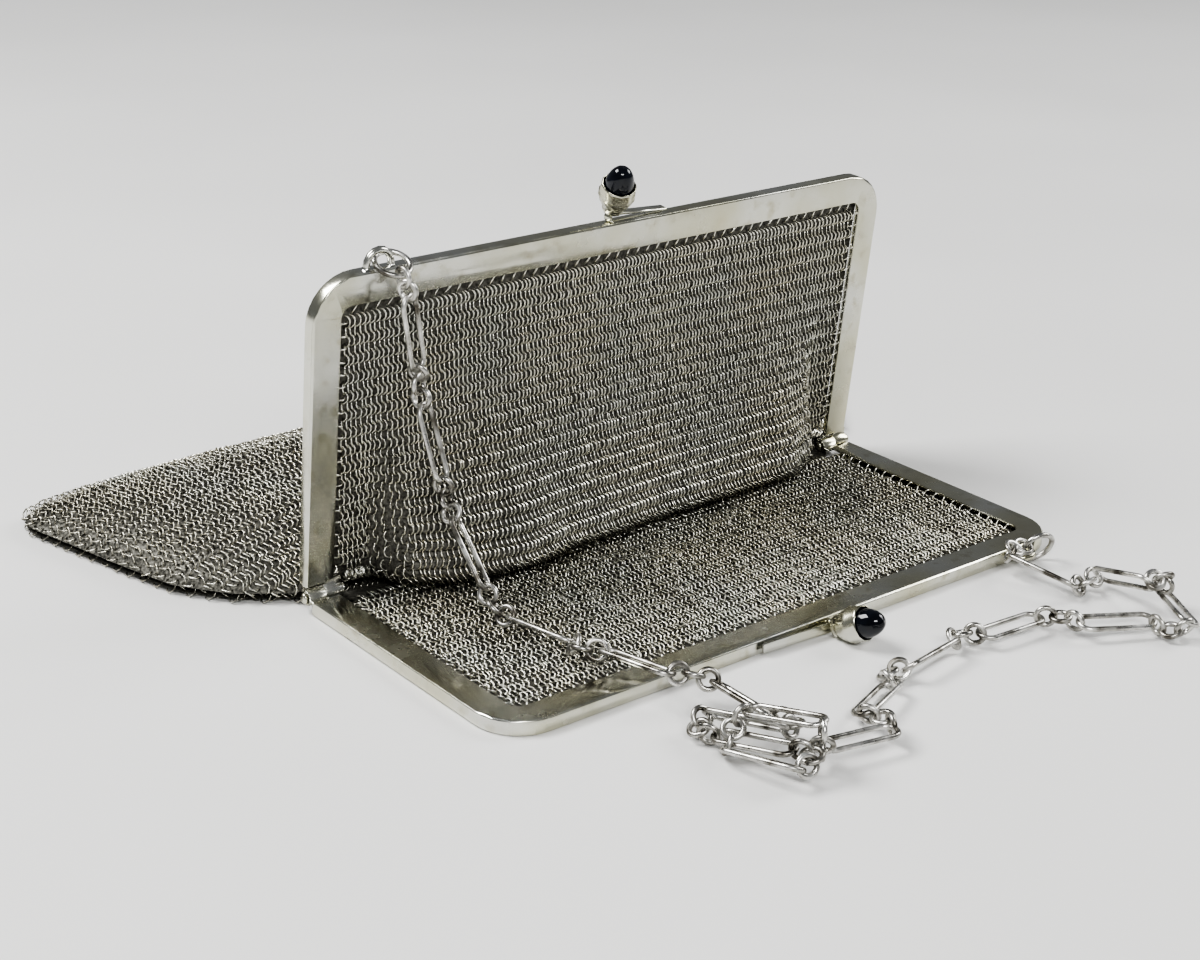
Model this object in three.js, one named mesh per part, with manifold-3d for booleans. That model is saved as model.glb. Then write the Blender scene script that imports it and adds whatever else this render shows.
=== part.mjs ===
// A metal mesh purse, standing open: one half of its hinged frame is upright, the other lies forward.
// Its ring mesh bag lies collapsed behind the hinge and its chain runs out over the front bar.
// Millimetres. X runs along the hinge, Y to the back, Z up, and the purse stands on z = 0.
import * as THREE from 'three';
import { mergeVertices } from 'three/addons/utils/BufferGeometryUtils.js';
import Module from 'manifold-3d';

const wasm = await Module();
wasm.setup();

// Frame: both halves are the same folded channel
const frameWidth = 152;
const legLength = 68.4;
const bandWidth = 6.3;
const frameDepth = 3.2;
const frameSheet = 0.6;
const backFlange = 4.2;
const outerCorner = 10;
const innerCorner = 2.5;
const edgeRound = 0.35;
const forwardLean = 5.74;
const fitGap = 0.3;

// Hinges
const pinRadius = 0.6;
const pinHeadRadius = 1.1;
const pinHeadHeight = 0.5;
const knuckleWall = 0.8;
const knuckleLength = 3.8;

// Kiss clasp: a folded strip on the bar with a stone-tipped knob
const knobAcross = -3.4;
const stripWidth = 2;
const stripBehind = 1.4;
const stripSheet = 0.5;
const stripRise = 2.3;
const stripTip = 1.3;
const uprightStrip = 14.2;
const lyingStrip = 18;
const knobLean = 24;
const knobTurn = 11;
const knobRadius = 3.75;
const knobFoot = 2.4;
const knobBead = 5.2;
const knobHeight = 8;
const knobSeat = 5.9;
const stoneRadius = 3.05;
const stoneHeight = 6.4;

// Chain loops on the bar, jump rings and links
const loopAcross = -61;
const loopBehind = 1;
const loopRadius = 2.8;
const loopFoot = 1;
const loopWire = 1.5;
const jumpRadius = 3.6;
const jumpWire = 1.2;
const linkWire = 1.1;
const longLink = 17.4;
const linkWidth = 5.5;
const smallLink = 4.9;
const solderLap = 0.32;
const smallBetween = 3;
const routeLeg = 68.4;

// Ring mesh bag
const bagWall = 1.4;
const bodyDepth = 77;
const bodyHalfWidth = 105;
const bodyRise = 11.5;
const bodyFloor = 1.2;
const throatHeight = 3.2;
const bulgeTop = 55;
const creaseDepth = 17;

// The upright half's bulge over the hinge: how far the crease lies forward, along the window
const creaseTable = [
  { across: -1, forward: -0.1 },
  { across: -0.92, forward: -0.1 },
  { across: -0.84, forward: 0.62 },
  { across: -0.68, forward: 0.88 },
  { across: -0.45, forward: 1 },
  { across: -0.22, forward: 0.86 },
  { across: 0.22, forward: 0.78 },
  { across: 0.7, forward: 0.76 },
  { across: 0.86, forward: 0.5 },
  { across: 0.92, forward: -0.1 },
  { across: 1, forward: -0.1 },
];

// The collapsed body behind the hinge: its half width and its height over the floor, front to back
const bodyTable = [
  { back: 0.065, width: 0.72, rise: 0.38 },
  { back: 0.16, width: 0.82, rise: 0.66 },
  { back: 0.3, width: 0.895, rise: 0.92 },
  { back: 0.5, width: 0.935, rise: 1 },
  { back: 0.7, width: 0.97, rise: 0.92 },
  { back: 0.87, width: 1, rise: 0.68 },
  { back: 0.96, width: 0.985, rise: 0.38 },
];
const tailWidth = 0.955;

// Soft folds on top of the body
const foldTable = [
  { across: -0.72, back: 0.3, reach: 0.12, lift: 0.2 },
  { across: -0.45, back: 0.62, reach: 0.16, lift: 0.24 },
  { across: -0.1, back: 0.4, reach: 0.18, lift: -0.22 },
  { across: 0.3, back: 0.68, reach: 0.2, lift: 0.2 },
  { across: 0.62, back: 0.35, reach: 0.14, lift: 0.16 },
];

// Rows of the sheet in the windows, from the bar to the hinge
const windowRows = [1, 0.965, 0.88, 0.68, 0.48, 0.33, 0.21, 0.12];
const lyingRows = [0.2, 0.42, 0.64, 0.88, 0.965, 1];
const columns = [0, 0.22, 0.44, 0.64, 0.8, 0.92, 1];

// Chosen places of the long links on legs of routeLeg, from the upright bar's ring to the lying bar's ring
const chainRoute = [
  { x: -56.5, y: -10.9, z: 58.8, heading: 25, pitch: -77, roll: 64 },
  { x: -52.8, y: -11.8, z: 35.4, heading: -64, pitch: -74, roll: 45 },
  { x: -52.1, y: -23.3, z: 15.4, heading: -92, pitch: -43, roll: 46 },
  { x: -49.7, y: -43.8, z: 5.9, heading: -78, pitch: 0, roll: 40 },
  { x: -44.2, y: -66.3, z: 6.8, heading: -77, pitch: 1, roll: 42 },
  { x: -35.1, y: -86.3, z: 4.5, heading: -89, pitch: -2, roll: 72 },
  { x: -40.1, y: -92, z: 4.5, heading: 111, pitch: -6, roll: 43 },
  { x: -43.3, y: -98, z: 3.7, heading: -71, pitch: 7, roll: 3 },
  { x: -45.5, y: -102.6, z: 3, heading: 105, pitch: -6, roll: 29 },
  { x: -38.7, y: -100.6, z: 8.8, heading: -75, pitch: 10, roll: -1 },
  { x: -27.1, y: -107.9, z: 3.6, heading: -11, pitch: -1, roll: 55 },
  { x: -12.2, y: -98, z: 2.6, heading: 22, pitch: -3, roll: 48 },
  { x: 8.3, y: -92.2, z: 2.9, heading: 9, pitch: 0, roll: 33 },
  { x: 31, y: -92.8, z: 2.8, heading: -4, pitch: 0, roll: 65 },
  { x: 49.4, y: -104.7, z: 3.1, heading: -27, pitch: -2, roll: 73 },
  { x: 63.7, y: -108.3, z: 3.9, heading: 59, pitch: 0, roll: 27 },
  { x: 63.2, y: -95.1, z: 5.2, heading: 81, pitch: -15, roll: 50 },
  { x: 54.2, y: -81.2, z: 4.2, heading: 100, pitch: 7, roll: 83 },
];
const uprightRing = { across: 2.4, out: 0.95, over: 0.15, normal: [0, 0.94, 0.35], hold: [0, -0.35, 0.94] };
const lyingRing = { across: -2.4, out: 3.5, over: 0.7, normal: [0.25, 0.88, -0.4], hold: [0.95, -0.13, 0.285] };

// Derived places
const halfWidth = frameWidth / 2;
const boreRadius = pinRadius + fitGap;
const knuckleRadius = boreRadius + knuckleWall;
const legStart = knuckleRadius + fitGap + 0.1;
const outerKnuckle = halfWidth - knuckleLength / 2;
const innerKnuckle = outerKnuckle - knuckleLength - fitGap;
const channelMiddle = -frameDepth / 2;
const sheetEdge = halfWidth - frameSheet - fitGap;
const sheetTop = legLength - frameSheet - fitGap;
const sheetCorner = outerCorner - frameSheet - fitGap;
const throatHalf = innerKnuckle - knuckleLength / 2 - 2 * fitGap - pinHeadHeight - 0.1;
const throatStart = legStart + 1.4;
const footStart = legStart + 4;

// Materials
const silver = new THREE.MeshStandardMaterial({ color: 0xb9b7b0, metalness: 1, roughness: 0.3 });
const agedSilver = new THREE.MeshStandardMaterial({ color: 0x8f8d86, metalness: 1, roughness: 0.38 });
const meshSilver = new THREE.MeshStandardMaterial({ color: 0x7e7c75, metalness: 0.9, roughness: 0.5 });
const darkStone = new THREE.MeshStandardMaterial({ color: 0x0b0e16, metalness: 0, roughness: 0.12 });

// Solids
function toSolid(geometry, matrix) {
  const bare = geometry.index ? geometry.toNonIndexed() : geometry.clone();
  bare.deleteAttribute('normal');
  bare.deleteAttribute('uv');
  if (matrix) bare.applyMatrix4(matrix);
  const merged = mergeVertices(bare, 1e-4);
  return new wasm.Manifold(new wasm.Mesh({
    numProp: 3,
    vertProperties: new Float32Array(merged.attributes.position.array),
    triVerts: new Uint32Array(merged.index.array),
  }));
}

function toGeometry(solid) {
  const mesh = solid.getMesh();
  const geometry = new THREE.BufferGeometry();
  geometry.setAttribute('position', new THREE.BufferAttribute(mesh.vertProperties, 3));
  geometry.setIndex(new THREE.BufferAttribute(mesh.triVerts, 1));
  geometry.computeVertexNormals();
  return geometry;
}

function shiftTo(x, y, z) {
  return new THREE.Matrix4().makeTranslation(x, y, z);
}

function extruded(shape, from, to, bevel = 0) {
  const geometry = new THREE.ExtrudeGeometry(shape, {
    depth: to - from - 2 * bevel,
    bevelEnabled: bevel > 0,
    bevelThickness: bevel,
    bevelSize: bevel,
    bevelOffset: -bevel,
    bevelSegments: 1,
    curveSegments: 4,
  });
  return toSolid(geometry, shiftTo(0, 0, from + bevel));
}

function block(fromX, toX, fromY, toY, fromZ, toZ) {
  const box = new THREE.BoxGeometry(toX - fromX, toY - fromY, toZ - fromZ);
  return toSolid(box, shiftTo((fromX + toX) / 2, (fromY + toY) / 2, (fromZ + toZ) / 2));
}

function rod(radius, fromX, toX, sides) {
  const cylinder = new THREE.CylinderGeometry(radius, radius, toX - fromX, sides);
  const matrix = shiftTo((fromX + toX) / 2, 0, 0).multiply(new THREE.Matrix4().makeRotationZ(Math.PI / 2));
  return toSolid(cylinder, matrix);
}

// Everything inside the frame's outer edge, drawn in by an inset and open at the foot
function frameOutline(inset, corner, foot) {
  const side = halfWidth - inset;
  const top = legLength - inset;
  const shape = new THREE.Shape();
  shape.moveTo(-side, foot);
  shape.lineTo(side, foot);
  shape.lineTo(side, top - corner);
  shape.absarc(side - corner, top - corner, corner, 0, Math.PI / 2, false);
  shape.lineTo(-side + corner, top);
  shape.absarc(-side + corner, top - corner, corner, Math.PI / 2, Math.PI, false);
  shape.lineTo(-side, foot);
  return shape;
}

function channel() {
  const below = legStart - 1;
  const solid = extruded(frameOutline(0, outerCorner, legStart), -frameDepth, 0, edgeRound);
  const window = extruded(frameOutline(bandWidth, innerCorner, below), -frameDepth - 1, 1);
  const groove = extruded(
    frameOutline(frameSheet, outerCorner - frameSheet, below), frameSheet - frameDepth, -frameSheet);
  const lip = extruded(
    frameOutline(backFlange, outerCorner - backFlange, below), -frameDepth - 1, channelMiddle);
  return solid.subtract(window).subtract(groove).subtract(lip);
}

function knuckle(across) {
  const from = across - knuckleLength / 2;
  const to = across + knuckleLength / 2;
  const barrel = rod(knuckleRadius, from, to, 12);
  const tongue = block(from, to, 0, legStart + 1, -frameSheet, 0);
  return barrel.add(tongue).subtract(rod(boreRadius, from - 1, to + 1, 10));
}

// The clasp's strip: soldered to the bar, folded back at the knob and sloping down to its free tip
function claspStrip(length) {
  const middle = stripRise / 2;
  const inner = middle - stripSheet;
  const shape = new THREE.Shape();
  shape.moveTo(knobAcross, 0);
  shape.lineTo(knobAcross + length - 1, 0);
  shape.lineTo(knobAcross + length - 1, stripSheet);
  shape.lineTo(knobAcross, stripSheet);
  shape.absarc(knobAcross, middle, inner, -Math.PI / 2, Math.PI / 2, true);
  shape.lineTo(knobAcross + length, stripTip - stripSheet);
  shape.lineTo(knobAcross + length, stripTip);
  shape.lineTo(knobAcross, stripRise);
  shape.absarc(knobAcross, middle, middle, Math.PI / 2, -Math.PI / 2, false);
  const from = -stripBehind - stripWidth / 2;
  return extruded(shape, from, from + stripWidth).translate([0, legLength - 0.05, 0]);
}

// Base of the knob: its axis leans towards the other half and a little to one side
function knobFrame() {
  const lean = new THREE.Matrix4().makeRotationX(THREE.MathUtils.degToRad(knobLean));
  const turn = new THREE.Matrix4().makeRotationZ(THREE.MathUtils.degToRad(knobTurn));
  return shiftTo(knobAcross, legLength + stripRise, -stripBehind).multiply(turn).multiply(lean);
}

function turned(profile, sides) {
  return new THREE.LatheGeometry(profile.map(([r, t]) => new THREE.Vector2(r, t)), sides);
}

// A round cup with a foot and a bead, hollowed for the stone
function knobCup() {
  const socket = stoneRadius + fitGap;
  const profile = [
    [0, -0.3],
    [stripWidth / 2, -0.3],
    [stripWidth / 2, 0.3],
    [knobFoot - 0.15, 0.8],
    [knobFoot, 1.3],
    [knobFoot - 0.2, 1.8],
    [knobRadius * 0.88, 3.3],
    [knobRadius, knobBead - 0.4],
    [knobRadius + 0.22, knobBead],
    [knobRadius, knobBead + 0.4],
    [knobRadius, knobHeight - 0.4],
    [knobRadius - 0.15, knobHeight],
    [socket, knobHeight],
    [socket, knobSeat],
    [0, knobSeat],
  ];
  return toSolid(turned(profile, 12), knobFrame());
}

// A pointed cabochon in the cup
function cabochon(name) {
  const foot = knobSeat + fitGap;
  const shares = [[0, 0], [0.9, 0], [1, 0.08], [1, 0.28], [0.93, 0.5], [0.75, 0.73], [0.44, 0.92], [0, 1]];
  const profile = shares.map(([wide, high]) => [wide * stoneRadius, foot + high * stoneHeight]);
  const stone = new THREE.Mesh(turned(profile, 12).applyMatrix4(knobFrame()), darkStone);
  stone.name = name;
  return stone;
}

function wireSection(wire, sides) {
  const points = [];
  for (let i = 0; i < sides; i += 1) {
    const angle = (2 * Math.PI * i) / sides;
    points.push(new THREE.Vector2(Math.cos(angle) * wire / 2, Math.sin(angle) * wire / 2));
  }
  return new THREE.Shape(points);
}

// A wire staple soldered on the bar, for the chain
function chainLoop() {
  const points = [];
  const foot = legLength - frameSheet / 2;
  const spring = legLength + loopFoot;
  points.push(new THREE.Vector3(loopAcross + loopRadius, foot, -loopBehind));
  const steps = 6;
  for (let i = 0; i <= steps; i += 1) {
    const angle = (Math.PI * i) / steps;
    const x = loopAcross + loopRadius * Math.cos(angle);
    points.push(new THREE.Vector3(x, spring + loopRadius * Math.sin(angle), -loopBehind));
  }
  points.push(new THREE.Vector3(loopAcross - loopRadius, foot, -loopBehind));
  const path = new THREE.CatmullRomCurve3(points);
  const settings = { steps: 10, extrudePath: path, bevelEnabled: false };
  return toSolid(new THREE.ExtrudeGeometry(wireSection(loopWire, 5), settings));
}

function frameHalf(name, stripLength) {
  const soldered = channel()
    .add(knuckle(outerKnuckle))
    .add(knuckle(-innerKnuckle))
    .add(claspStrip(stripLength))
    .add(knobCup())
    .add(chainLoop());
  const mesh = new THREE.Mesh(toGeometry(soldered), silver);
  mesh.name = name;
  return mesh;
}

function hingePin(name, side) {
  const outer = halfWidth + fitGap;
  const inner = innerKnuckle - knuckleLength / 2 - fitGap;
  const shank = rod(pinRadius, inner - 0.1, outer + 0.1, 10);
  const outerHead = rod(pinHeadRadius, outer, outer + pinHeadHeight, 10);
  const innerHead = rod(pinHeadRadius, inner - pinHeadHeight, inner, 10);
  const pin = new THREE.Mesh(toGeometry(shank.add(outerHead).add(innerHead)), silver);
  pin.name = name;
  if (side < 0) pin.rotation.z = Math.PI;
  return pin;
}

// Places of the two halves
const hinge = new THREE.Vector3(0, 0, frameDepth);
const uprightPlace = new THREE.Group();
uprightPlace.position.copy(hinge);
uprightPlace.rotation.x = THREE.MathUtils.degToRad(90 + forwardLean);
const lyingPlace = new THREE.Group();
lyingPlace.position.copy(hinge);
lyingPlace.rotation.z = Math.PI;
uprightPlace.updateMatrix();
lyingPlace.updateMatrix();

// Bag
function readTable(table, key, value, at) {
  const first = table[0];
  const last = table[table.length - 1];
  if (at <= first[key]) return first[value];
  if (at >= last[key]) return last[value];
  const next = table.findIndex((row) => row[key] >= at);
  const before = table[next - 1];
  const after = table[next];
  const share = (at - before[key]) / (after[key] - before[key]);
  const smooth = share * share * (3 - 2 * share);
  return before[value] + (after[value] - before[value]) * smooth;
}

function creaseAt(x) {
  return creaseDepth * readTable(creaseTable, 'across', 'forward', x / throatHalf);
}

function bulgeAt(x, out) {
  const full = 1 - throatStart / bulgeTop;
  const share = Math.max(0, 1 - out / bulgeTop) / full;
  return Math.max(0, creaseAt(x)) * share ** 2.6;
}

// Half width of the sheet in a window, at a distance from the hinge
function windowHalf(out) {
  if (out <= throatStart) return throatHalf;
  if (out < footStart) {
    return throatHalf + (sheetEdge - throatHalf) * (out - throatStart) / (footStart - throatStart);
  }
  const rise = Math.max(0, out - (sheetTop - sheetCorner));
  return sheetEdge - sheetCorner + Math.sqrt(Math.max(0, sheetCorner ** 2 - rise ** 2));
}

function uprightPoint(across, out) {
  const x = across * windowHalf(out);
  return new THREE.Vector3(x, out, channelMiddle + bulgeAt(x, out)).applyMatrix4(uprightPlace.matrix);
}

function lyingPoint(across, out) {
  const x = across * windowHalf(out);
  const inside = Math.max(0, 1 - (x / (halfWidth - bandWidth)) ** 8);
  const span = Math.sin(Math.PI * Math.min(1, out / (legLength - bandWidth)));
  const wave = 0.5 * Math.sin(x * 14 / halfWidth) * Math.sin(out * 9 / legLength + 1);
  const z = frameDepth + channelMiddle + wave * inside * Math.max(0, span) * (bagWall / 2);
  return new THREE.Vector3(x, -out, z);
}

function throatBack(across) {
  return (knuckleRadius + 1.5) * Math.abs(across) ** 8;
}

// The fold under the bulge: share 0 is the crease, 1 is over the hinge
function foldPoint(across, share) {
  const x = across * throatHalf;
  const front = -(creaseAt(x) - bagWall / 2);
  const y = front + (throatBack(across) - front) * share;
  const side = Math.abs(across) ** 10 * (1 - share);
  return new THREE.Vector3(x, y, bodyFloor + throatHeight + side + 0.2 * (1 - share));
}

function bodySpan(across, rise) {
  const lens = Math.sqrt(Math.max(0, 1 - Math.abs(across) ** 5));
  return Math.max(rise * lens, bagWall * 1.6);
}

function foldLift(across, back) {
  let lift = 0;
  for (const fold of foldTable) {
    const away = ((across - fold.across) ** 2 + (back - fold.back) ** 2) / fold.reach ** 2;
    lift += fold.lift * bodyRise * Math.exp(-away);
  }
  return lift * (1 - across ** 6);
}

function bodyPoint(across, row, side) {
  const x = across * row.width * bodyHalfWidth;
  const y = row.back * bodyDepth;
  if (Math.abs(across) === 1) return new THREE.Vector3(x, y, bodyFloor + bagWall * 0.7);
  if (side === 'under') return new THREE.Vector3(x, y, bodyFloor);
  const span = bodySpan(across, row.rise * bodyRise);
  return new THREE.Vector3(x, y, bodyFloor + span + foldLift(across, row.back) * row.rise);
}

function tailPoint(across) {
  const x = across * tailWidth * bodyHalfWidth;
  const y = bodyDepth * (1 - 0.05 * Math.abs(across) ** 3);
  return new THREE.Vector3(x, y, bodyFloor + bagWall * 0.8);
}

// Rows of points from the upright bar, round the tail of the bag, to the lying bar
function sheetRows() {
  const acrosses = [...columns.slice(1).reverse().map((u) => -u), ...columns];
  const rowOf = (place) => acrosses.map(place);
  const rows = [];
  for (const share of windowRows) rows.push(rowOf((u) => uprightPoint(u, share * sheetTop)));
  rows.push(rowOf((u) => uprightPoint(u, throatStart)));
  for (const share of [0, 0.5, 1]) rows.push(rowOf((u) => foldPoint(u, share)));
  for (const row of bodyTable) rows.push(rowOf((u) => bodyPoint(u, row, 'top')));
  rows.push(rowOf(tailPoint));
  for (const row of [...bodyTable].reverse()) rows.push(rowOf((u) => bodyPoint(u, row, 'under')));
  rows.push(rowOf((u) => new THREE.Vector3(u * throatHalf, throatBack(u), bodyFloor)));
  rows.push(rowOf((u) => lyingPoint(u, throatStart)));
  for (const share of lyingRows) rows.push(rowOf((u) => lyingPoint(u, share * sheetTop)));
  return rows;
}

// Gives an open sheet of triangles its wall: an outer and an inner skin, joined round its rim
function thickened(points, faces, wall) {
  const normals = points.map(() => new THREE.Vector3());
  const edges = new Map();
  for (const [a, b, c] of faces) {
    const side = points[b].clone().sub(points[a]);
    const normal = side.cross(points[c].clone().sub(points[a]));
    for (const corner of [a, b, c]) normals[corner].add(normal);
    for (const [from, to] of [[a, b], [b, c], [c, a]]) edges.set(`${from},${to}`, [from, to]);
  }
  const count = points.length;
  const vertices = [];
  for (const sign of [1, -1]) {
    points.forEach((point, i) => {
      vertices.push(point.clone().addScaledVector(normals[i].clone().normalize(), sign * wall / 2));
    });
  }
  const triangles = [];
  for (const [a, b, c] of faces) {
    triangles.push([a, b, c], [a + count, c + count, b + count]);
  }
  for (const [from, to] of edges.values()) {
    if (edges.has(`${to},${from}`)) continue;
    triangles.push([from, from + count, to + count], [from, to + count, to]);
  }
  const geometry = new THREE.BufferGeometry();
  geometry.setFromPoints(vertices);
  geometry.setIndex(triangles.flat());
  return geometry;
}

function meshBag() {
  const rows = sheetRows();
  const points = [];
  const known = new Map();
  const ids = rows.map((row) => row.map((point) => {
    const key = point.toArray().map((value) => value.toFixed(4)).join();
    if (!known.has(key)) {
      known.set(key, points.length);
      points.push(point);
    }
    return known.get(key);
  }));
  const faces = [];
  for (let i = 0; i + 1 < ids.length; i += 1) {
    for (let k = 0; k + 1 < ids[i].length; k += 1) {
      const [a, b, c, d] = [ids[i][k], ids[i][k + 1], ids[i + 1][k + 1], ids[i + 1][k]];
      const left = k + 1 < columns.length;
      const halves = left ? [[a, d, b], [b, d, c]] : [[a, c, b], [a, d, c]];
      for (const face of halves) {
        if (new Set(face).size === 3) faces.push(face);
      }
    }
  }
  const solid = toSolid(thickened(points, faces, bagWall));
  const bag = new THREE.Mesh(toGeometry(solid), meshSilver);
  bag.name = 'mesh_bag';
  return bag;
}

// Chain
function linkRadius(kind) {
  return kind === 'long' ? (linkWidth - linkWire) / 2 : (smallLink - linkWire) / 2;
}

function linkHalf(kind) {
  return ((kind === 'long' ? longLink : smallLink) - linkWire) / 2;
}

// Distance between a link's two joints, where its wire crosses its neighbours'
function linkReach(kind) {
  return 2 * linkHalf(kind) - (linkWire - solderLap);
}

// A flat link in the XY plane, long along X
function linkGeometry(kind) {
  if (kind === 'small') {
    const turn = Math.PI / 10;
    return new THREE.TorusGeometry(linkRadius(kind) / Math.cos(turn), linkWire / 2, 5, 10).rotateZ(turn);
  }
  const geometry = new THREE.TorusGeometry(linkRadius(kind), linkWire / 2, 5, 10);
  const shift = linkHalf(kind) - linkRadius(kind);
  const position = geometry.attributes.position;
  for (let i = 0; i < position.count; i += 1) {
    const x = position.getX(i);
    position.setX(i, x + Math.sign(x) * shift);
    position.setY(i, position.getY(i) / Math.sin(Math.PI * 0.4));
  }
  return geometry;
}

// Sets a link between two joints, turned about its length by roll from lying flat under up
function placeLink(kind, from, to, up, roll) {
  const along = to.clone().sub(from).normalize();
  const side = new THREE.Vector3().crossVectors(up, along).normalize();
  const normal = new THREE.Vector3().crossVectors(along, side).applyAxisAngle(along, roll);
  const across = new THREE.Vector3().crossVectors(normal, along);
  const middle = from.clone().add(to).multiplyScalar(0.5);
  const matrix = new THREE.Matrix4().makeBasis(along, across, normal).setPosition(middle);
  return toSolid(linkGeometry(kind), matrix);
}

// Joints of the small links that bridge two places: equal steps on an arc that bulges to one side
function bridge(from, to, reaches, bulge) {
  const span = to.clone().sub(from);
  const distance = span.length();
  const length = reaches.reduce((sum, reach) => sum + reach, 0);
  const along = span.clone().normalize();
  const side = bulge.clone().addScaledVector(along, -bulge.dot(along)).normalize();
  const joints = [from.clone()];
  if (distance >= length * 0.999) {
    let run = 0;
    for (const reach of reaches) {
      run += reach;
      joints.push(from.clone().addScaledVector(along, distance * run / length));
    }
    return joints;
  }
  const turned = (radius) => reaches.reduce((sum, r) => sum + 2 * Math.asin(Math.min(1, r / 2 / radius)), 0);
  let low = Math.max(...reaches) / 2;
  let high = length * 40;
  for (let i = 0; i < 60; i += 1) {
    const radius = (low + high) / 2;
    if (2 * radius * Math.sin(Math.min(turned(radius), 2 * Math.PI) / 2) < distance) low = radius;
    else high = radius;
  }
  const radius = (low + high) / 2;
  let angle = -turned(radius) / 2;
  const centre = from.clone().add(to).multiplyScalar(0.5).addScaledVector(side, -radius * Math.cos(angle));
  for (const reach of reaches) {
    angle += 2 * Math.asin(Math.min(1, reach / 2 / radius));
    joints.push(centre.clone()
      .addScaledVector(along, radius * Math.sin(angle))
      .addScaledVector(side, radius * Math.cos(angle)));
  }
  return joints;
}

function routeLink(row) {
  const heading = THREE.MathUtils.degToRad(row.heading);
  const pitch = THREE.MathUtils.degToRad(row.pitch);
  const along = new THREE.Vector3(
    Math.cos(pitch) * Math.cos(heading), Math.cos(pitch) * Math.sin(heading), Math.sin(pitch));
  const stretch = legLength / routeLeg;
  const lift = Math.max(0, row.z - 12) * (stretch - 1);
  const middle = new THREE.Vector3(row.x, row.y * stretch, row.z + lift);
  const half = linkReach('long') / 2;
  return {
    along,
    roll: THREE.MathUtils.degToRad(row.roll),
    from: middle.clone().addScaledVector(along, -half),
    to: middle.clone().addScaledVector(along, half),
  };
}

function upAt(point) {
  return point.z > 12 ? new THREE.Vector3(0, -1, 0.3) : new THREE.Vector3(0, 0, 1);
}

function ringCentre(ring) {
  return new THREE.Vector3(loopAcross + ring.across, legLength + ring.out, ring.over);
}

// Where the chain's end link holds a jump ring, and which way the ring's wire runs there
function ringJoint(ring, place) {
  const hold = new THREE.Vector3(...ring.hold).normalize();
  const inset = jumpRadius - (jumpWire + solderLap) / 2 - fitGap;
  return {
    point: ringCentre(ring).addScaledVector(hold, inset).applyMatrix4(place.matrix),
    wire: new THREE.Vector3(...ring.normal).cross(hold).transformDirection(place.matrix),
  };
}

function jumpRing(name, ring) {
  const mesh = new THREE.Mesh(new THREE.TorusGeometry(jumpRadius, jumpWire / 2, 5, 14), agedSilver);
  mesh.position.copy(ringCentre(ring));
  mesh.quaternion.setFromUnitVectors(
    new THREE.Vector3(0, 0, 1), new THREE.Vector3(...ring.normal).normalize());
  mesh.name = name;
  return mesh;
}

// Reaches of the small links between two joints: the usual number, or more if they lie further apart
function smallReaches(from, to, usual) {
  const small = linkReach('small');
  return Array(Math.max(usual, Math.ceil(from.distanceTo(to) / small))).fill(small);
}

function chain() {
  const longs = chainRoute.map(routeLink);
  const links = [];
  const addSmall = (joints, rollFrom, rollTo) => {
    for (let i = 0; i + 1 < joints.length; i += 1) {
      const share = (i + 0.5) / (joints.length - 1);
      const turn = rollFrom + (rollTo - rollFrom) * share + (i % 2 === 0 ? Math.PI / 2 : 0);
      links.push(placeLink('small', joints[i], joints[i + 1], upAt(joints[i]), turn));
    }
  };
  const start = ringJoint(uprightRing, uprightPlace);
  const end = ringJoint(lyingRing, lyingPlace);
  const headReaches = smallReaches(start.point, longs[0].from, 2);
  const head = bridge(start.point, longs[0].from, headReaches, new THREE.Vector3(0, -1, 0));
  links.push(placeLink('small', head[0], head[1], start.wire, 0));
  addSmall(head.slice(1), longs[0].roll, longs[0].roll);
  longs.forEach((link, i) => {
    links.push(placeLink('long', link.from, link.to, upAt(link.from), link.roll));
    const next = longs[i + 1];
    if (!next) return;
    const bulge = link.along.clone().sub(next.along).addScaledVector(new THREE.Vector3(0, 0, 1), 0.02);
    const reaches = smallReaches(link.to, next.from, smallBetween);
    addSmall(bridge(link.to, next.from, reaches, bulge), link.roll, next.roll);
  });
  const last = longs[longs.length - 1];
  const tail = bridge(last.to, end.point, smallReaches(last.to, end.point, 3), last.along);
  addSmall(tail.slice(0, -1), last.roll, last.roll);
  links.push(placeLink('small', tail[tail.length - 2], tail[tail.length - 1], end.wire, 0));
  const solid = links.reduce((sum, link) => sum.add(link));
  const mesh = new THREE.Mesh(toGeometry(solid), agedSilver);
  mesh.name = 'chain';
  return mesh;
}

uprightPlace.add(frameHalf('frame_upright', uprightStrip));
uprightPlace.add(cabochon('cabochon_upright'));
uprightPlace.add(jumpRing('jump_ring_upright', uprightRing));
lyingPlace.add(frameHalf('frame_lying', lyingStrip));
lyingPlace.add(cabochon('cabochon_lying'));
lyingPlace.add(jumpRing('jump_ring_lying', lyingRing));

const pins = new THREE.Group();
pins.position.copy(hinge);
pins.add(hingePin('hinge_pin_left', -1));
pins.add(hingePin('hinge_pin_right', 1));

const purse = new THREE.Group();
purse.add(uprightPlace, lyingPlace, pins, meshBag(), chain());

// Puts the middle of the purse's footprint on the origin
const footprint = new THREE.Box3().setFromObject(purse, true);
const middle = footprint.getCenter(new THREE.Vector3());
purse.position.set(-middle.x, -middle.y, 0);

export default purse;
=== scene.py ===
import math

import bpy
import numpy as np
from mathutils import Matrix, Vector


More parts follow.
